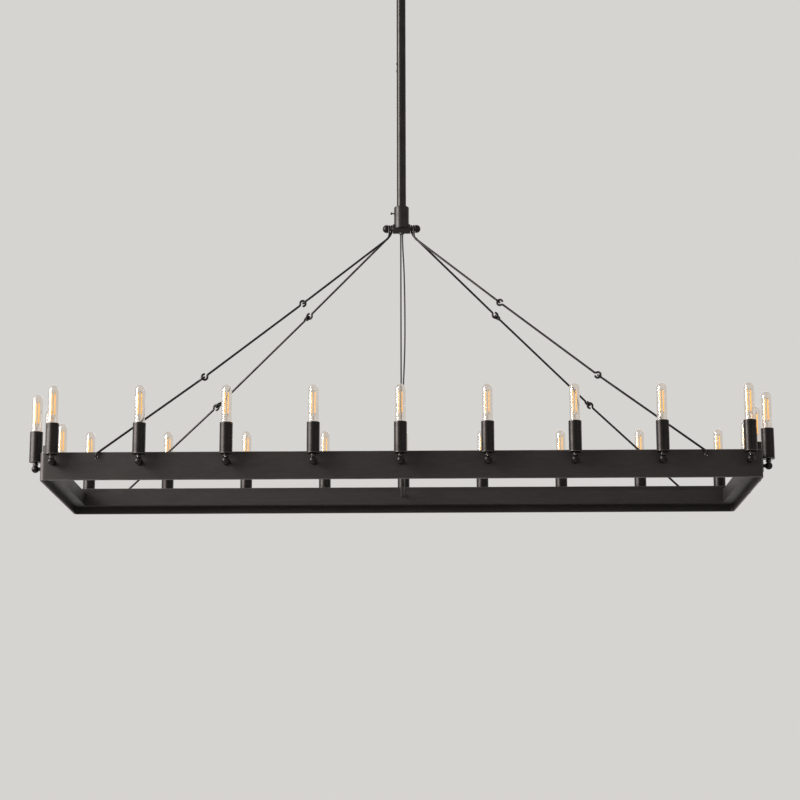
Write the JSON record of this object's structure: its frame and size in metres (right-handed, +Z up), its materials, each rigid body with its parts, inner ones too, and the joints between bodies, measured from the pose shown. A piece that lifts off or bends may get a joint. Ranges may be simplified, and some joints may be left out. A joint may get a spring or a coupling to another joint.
{
  "type": "linear island pendant",
  "caption": "Rectangular flat-bar chandelier frame with candle lamps round its edge, hung by four hooked-rod chains from a pipe stem with a swivel canopy.",
  "frame": {"origin": "centre of the ceiling face, where the canopy's rim and the crossbar meet the ceiling", "axes": "+Z up towards the ceiling, +X along the frame's long side, +Y away from the viewer of the picture"},
  "size_m": [1.5956, 0.5196, 1.4313],
  "materials": {
    "blackened_iron": "blackened and waxed flat iron bar, satin",
    "blackened_steel": "blackened steel, satin",
    "zinc_plated_steel": "zinc plated, hidden hardware",
    "earth_screw_green": "green lacquered screw",
    "black_nylon": "moulded nylon",
    "black_cord": "black PVC sheath",
    "wire_insulation": "hidden wire insulation",
    "phenolic": "moulded phenolic",
    "nickel_plated_brass": "plated brass",
    "clear_glass": "clear glass",
    "filament_phosphor": "lit amber phosphor bar"
  },
  "bodies": {
    "ceiling_mount": {"canopy": "blackened_steel", "ceiling_crossbar": "zinc_plated_steel", "canopy_studs": "zinc_plated_steel", "canopy_cap_nuts": "blackened_steel", "hanger": "blackened_steel", "hanger_lock_nut": "zinc_plated_steel", "ground_screw": "earth_screw_green"},
    "swivel": {"swivel_head": "blackened_steel", "swivel_pin": "blackened_steel", "swivel_pin_clip": "blackened_steel"},
    "stem": {"swivel_tongue": "blackened_steel", "upper_pipe": "blackened_steel", "lower_pipe": "blackened_steel", "pipe_sleeve": "zinc_plated_steel", "pipe_joint_screws": "blackened_steel", "hub_tee": "blackened_iron", "hub_pins": "blackened_steel", "hub_ball_nuts": "blackened_steel", "hub_set_screw": "blackened_steel", "hub_cord_bushing": "black_nylon", "stem_cords": "black_cord"},
    "frame": {"frame_band": "blackened_iron", "channel_front": "blackened_iron", "channel_back": "blackened_iron", "channel_left": "blackened_iron", "channel_right": "blackened_iron", "channel_loom": "wire_insulation", "cord_grommets": "black_nylon", "feed_cord": "black_cord", "earth_cord": "black_cord", "lamp_arms": "blackened_steel", "arm_washers": "blackened_steel", "arm_nuts": "zinc_plated_steel", "arm_balls": "blackened_steel", "cup_nipples": "zinc_plated_steel", "cup_beads": "blackened_steel", "socket_cups": "blackened_steel", "lamp_sockets": "phenolic", "screw_shells": "nickel_plated_brass", "socket_contacts": "nickel_plated_brass", "lamp_leads": "wire_insulation", "bulb_glass": "clear_glass", "bulb_caps": "nickel_plated_brass", "bulb_mounts": "clear_glass", "filament_supports": "nickel_plated_brass", "bulb_filaments": "filament_phosphor", "upper_link_front_left": "blackened_steel", "middle_link_front_left": "blackened_steel", "lower_link_front_left": "blackened_steel", "upper_link_front_right": "blackened_steel", "middle_link_front_right": "blackened_steel", "lower_link_front_right": "blackened_steel", "upper_link_back_left": "blackened_steel", "middle_link_back_left": "blackened_steel", "lower_link_back_left": "blackened_steel", "upper_link_back_right": "blackened_steel", "middle_link_back_right": "blackened_steel", "lower_link_back_right": "blackened_steel"}
  },
  "joints": [
    {"name": "swivel_turn", "type": "hinge", "parent": "ceiling_mount", "child": "swivel", "pos_m": [0, 0, -0.052], "axis": [0, 0, 1], "range_deg": [-175, 175]},
    {"name": "swivel_tilt", "type": "hinge", "parent": "swivel", "child": "stem", "pos_m": [0, 0, -0.052], "axis": [0, 1, 0], "range_deg": [-30, 30]},
    {"name": "frame_swing", "type": "hinge", "parent": "stem", "child": "frame", "pos_m": [0, 0, -0.816], "axis": [1, 0, 0], "range_deg": [-8, 8], "deforming": ["feed_cord", "earth_cord"]}
  ]
}
